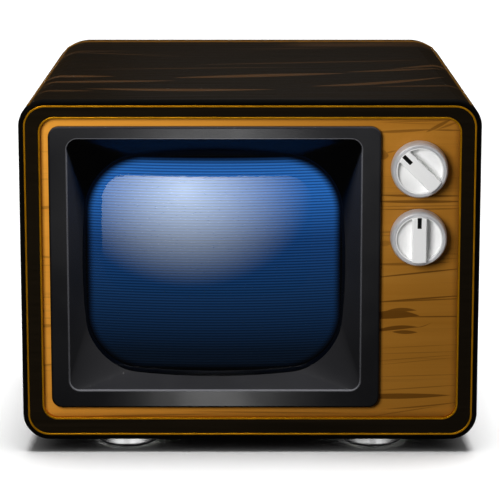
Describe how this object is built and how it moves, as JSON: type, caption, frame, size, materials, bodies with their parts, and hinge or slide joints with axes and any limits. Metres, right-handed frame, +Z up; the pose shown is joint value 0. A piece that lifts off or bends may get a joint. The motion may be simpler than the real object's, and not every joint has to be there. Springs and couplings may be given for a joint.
{
  "type": "table-top television set",
  "caption": "Wood-cased table-top television with a tapered cabinet, framed picture tube, two front control knobs, rear adjusters, round feet and its inner works",
  "frame": {"origin": "on the floor under the middle of the whole set's box, bottom of the foot pads at z 0", "axes": "+Z up, the screen and knobs face -Y, +X to the right of someone facing the screen"},
  "size_m": [0.4596, 0.3801, 0.365],
  "materials": {
    "dark_wood": "dark stained veneer, satin lacquer",
    "dark_frame": "dark stained moulding, satin lacquer",
    "light_wood": "straight-grained golden veneer, satin lacquer",
    "brass_trim": "polished",
    "black_gloss": "moulded, glossy",
    "screen_glass": "polished",
    "phosphor": "lit blue raster",
    "tube_glass": "dark graphite-coated glass",
    "steel": "zinc plated",
    "copper": "enamelled wire",
    "ferrite": "sintered",
    "circuit_board": "phenolic paper",
    "rubber": "matte",
    "white_plastic": "moulded, glossy",
    "silver_rim": "spun and polished",
    "black_matte": "moulded, matte",
    "foot_gloss": "moulded, glossy",
    "fibreboard": "pressed board, dark brown",
    "soft_wood": "planed",
    "paper": "felted paper",
    "cloth": "open weave",
    "aluminium": "mill finish"
  },
  "bodies": {
    "cabinet": {"anode_cap": "rubber", "anode_lead": "rubber", "back_cleats": "soft_wood", "cabinet_shell": "dark_wood", "chassis_frame": "steel", "control_bracket": "steel", "crt_faceplate": "screen_glass", "crt_funnel": "tube_glass", "electrolytic_capacitors": "aluminium", "electron_gun": "steel", "face_frame": "dark_frame", "flyback_transformer": "ferrite", "foot_front_left": "foot_gloss", "foot_front_right": "foot_gloss", "foot_pads": "rubber", "foot_rear_left": "foot_gloss", "foot_rear_right": "foot_gloss", "front_panel": "light_wood", "front_screws": "steel", "heat_sink": "aluminium", "inlet_pins": "brass_trim", "inner_trim": "brass_trim", "main_board": "circuit_board", "neck_cup": "black_matte", "outer_trim": "brass_trim", "phosphor_screen": "phosphor", "power_inlet": "black_matte", "power_transformer": "steel", "preset_pots": "steel", "rear_cover": "fibreboard", "rear_cover_screws": "steel", "screen_bezel": "black_gloss", "shaft_nuts": "steel", "speaker_cloth": "cloth", "speaker_frame": "steel", "terminal_board": "circuit_board", "terminal_screws": "brass_trim", "tube_band": "steel", "tube_base": "black_matte", "tube_mount_posts": "steel", "tube_socket_board": "circuit_board", "tuner_case": "steel", "volume_control": "steel", "yoke_coils": "copper", "yoke_core": "ferrite"},
    "channel_selector": {"channel_knob": "white_plastic", "channel_knob_rim": "silver_rim", "channel_knob_pointer": "black_matte", "channel_shaft": "steel", "tuner_turret": "black_matte"},
    "volume_spindle": {"volume_knob": "white_plastic", "volume_knob_rim": "silver_rim", "volume_knob_pointer": "black_matte", "volume_shaft": "steel"},
    "brightness_spindle": {"brightness_knob": "black_matte"},
    "contrast_spindle": {"contrast_knob": "black_matte"},
    "vertical_hold_spindle": {"vertical_hold_knob": "black_matte"},
    "ring_front": {"centering_ring_front": "black_matte"},
    "ring_rear": {"centering_ring_rear": "black_matte"},
    "speaker_diaphragm": {"speaker_cone": "paper"}
  },
  "joints": [
    {"name": "channel_turn", "type": "hinge", "parent": "cabinet", "child": "channel_selector", "pos_m": [0.1684, -0.176, 0.295], "axis": [0, 1, 0], "continuous": true},
    {"name": "volume_turn", "type": "hinge", "parent": "cabinet", "child": "volume_spindle", "pos_m": [0.1684, -0.176, 0.2251], "axis": [0, 1, 0], "range_deg": [-150, 150]},
    {"name": "brightness_turn", "type": "hinge", "parent": "cabinet", "child": "brightness_spindle", "pos_m": [-0.15, 0.138, 0.062], "axis": [0, 1, 0], "range_deg": [-140, 140]},
    {"name": "contrast_turn", "type": "hinge", "parent": "cabinet", "child": "contrast_spindle", "pos_m": [-0.118, 0.138, 0.062], "axis": [0, 1, 0], "range_deg": [-140, 140]},
    {"name": "vertical_hold_turn", "type": "hinge", "parent": "cabinet", "child": "vertical_hold_spindle", "pos_m": [-0.086, 0.138, 0.062], "axis": [0, 1, 0], "range_deg": [-140, 140]},
    {"name": "centering_front_turn", "type": "hinge", "parent": "cabinet", "child": "ring_front", "pos_m": [-0.0365, 0.041, 0.1904], "axis": [0, 1, 0], "continuous": true},
    {"name": "centering_rear_turn", "type": "hinge", "parent": "cabinet", "child": "ring_rear", "pos_m": [-0.0365, 0.044, 0.1904], "axis": [0, 1, 0], "continuous": true},
    {"name": "speaker_travel", "type": "slide", "parent": "cabinet", "child": "speaker_diaphragm", "axis": [0.9956, 0.0933, 0], "range_m": [-0.001, 0.001], "stiffness_N_per_m": 2000}
  ]
}
